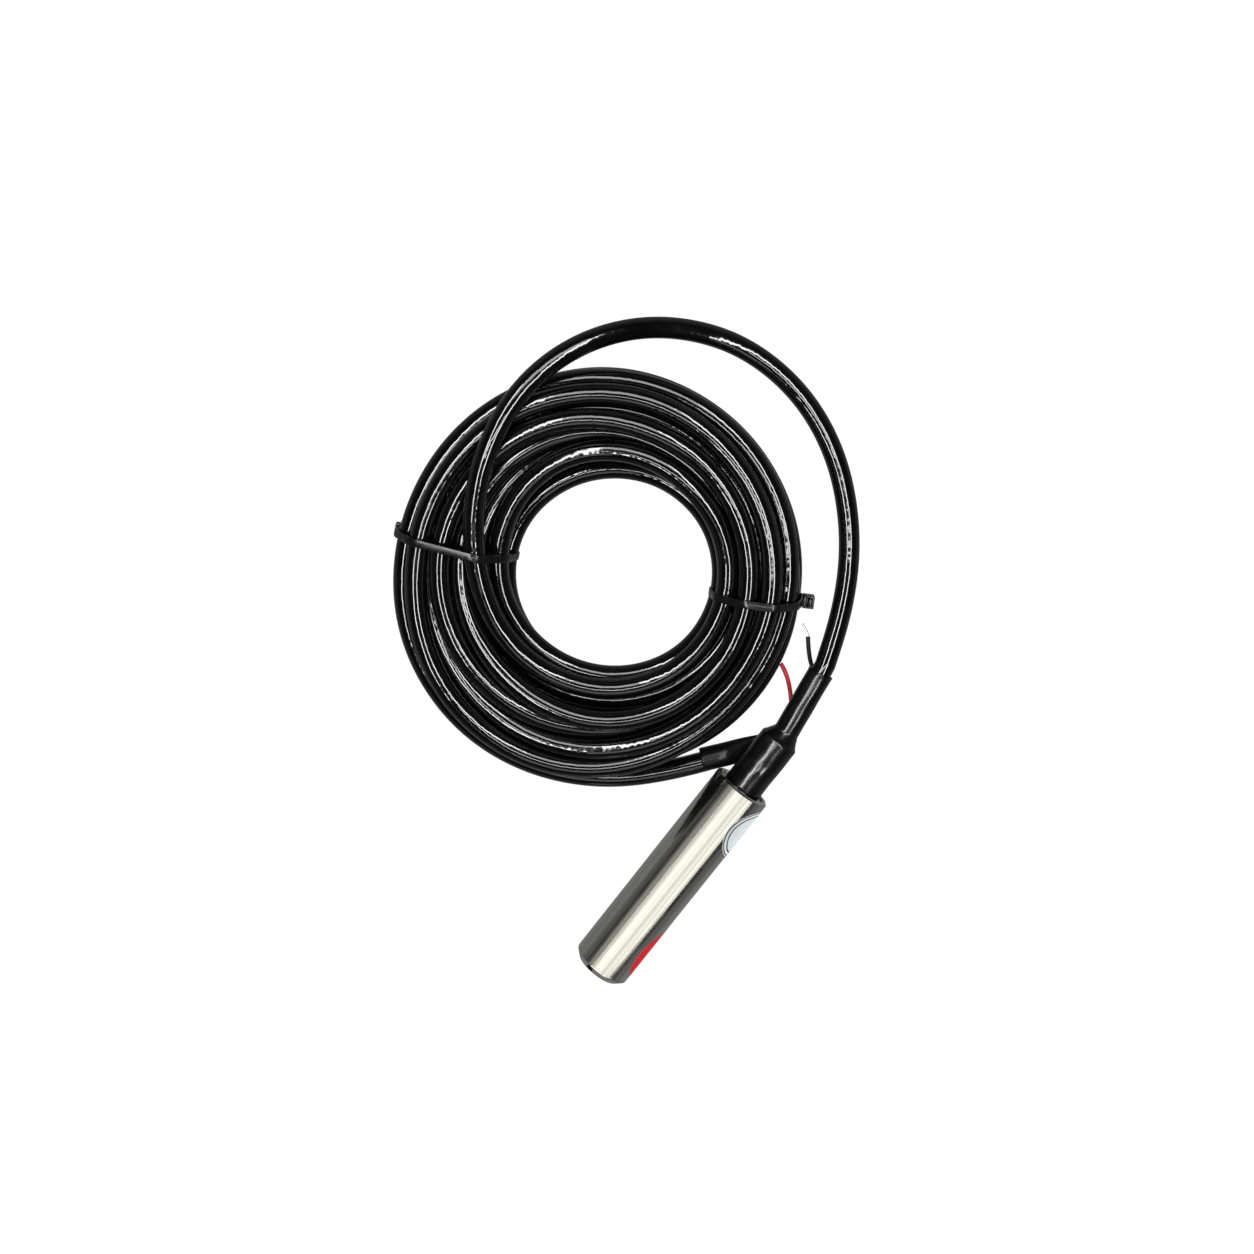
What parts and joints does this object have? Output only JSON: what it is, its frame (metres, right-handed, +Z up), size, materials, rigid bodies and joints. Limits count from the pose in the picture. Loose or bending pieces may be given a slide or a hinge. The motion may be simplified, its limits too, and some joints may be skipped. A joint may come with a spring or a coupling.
{
  "type": "submersible level transmitter",
  "caption": "Steel probe that hangs in a liquid and measures its depth by pressure, with a perforated nose, a heat-shrink boot and a coiled vented cable that ends in stripped cores.",
  "frame": {"origin": "on the surface that the part lies on, under the middle of the probe and its boot", "axes": "+X along the probe towards its nose, +Z up, the coiled cable on the -Y side"},
  "size_m": [0.2164, 0.1702, 0.0326],
  "materials": {
    "turned_steel": "fine turned and polished",
    "cell_steel": "bright",
    "black_rubber": "matte",
    "heat_shrink": "satin, shrunk",
    "cable_jacket": "glossy",
    "black_nylon": "satin moulded",
    "board_holder": "turned",
    "green_board": "solder mask",
    "chip_plastic": "moulded",
    "capacitor_body": "moulded",
    "terminal_plastic": "moulded",
    "ribbon_insulation": "smooth",
    "red_insulation": "satin",
    "black_insulation": "satin",
    "vent_plastic": "clear, smooth",
    "tinned_copper": "bright strands",
    "nickel_brass": "plated"
  },
  "bodies": {
    "root": {"housing_tube": "turned_steel", "nose_cap": "turned_steel", "cell_lock_ring": "turned_steel", "cell_weld_ring": "cell_steel", "cell_diaphragm": "cell_steel", "sensor_cell": "cell_steel", "cell_o_ring": "black_rubber", "cell_ribbon": "ribbon_insulation", "board_holder_front": "board_holder", "board_holder_rear": "board_holder", "amplifier_board": "green_board", "amplifier_chip": "chip_plastic", "voltage_regulator": "chip_plastic", "filter_capacitor": "capacitor_body", "surge_suppressor": "chip_plastic", "terminal_block": "terminal_plastic", "inner_core_red": "red_insulation", "inner_core_black": "black_insulation", "vent_tube": "vent_plastic", "cable_clamp_ring": "nickel_brass", "gland_body": "turned_steel", "gland_o_ring": "black_rubber", "cable_seal": "black_rubber", "seal_washer": "nickel_brass", "gland_nut": "turned_steel", "heat_shrink_boot": "heat_shrink", "cable_in_gland": "cable_jacket", "cable_loop": "cable_jacket", "cable_coil": "cable_jacket", "cable_tail": "cable_jacket", "tail_sleeve": "heat_shrink", "core_red": "red_insulation", "core_black": "black_insulation", "tip_red": "tinned_copper", "tip_black": "tinned_copper", "cable_tie_left": "black_nylon", "cable_tie_right": "black_nylon"}
  },
  "joints": []
}
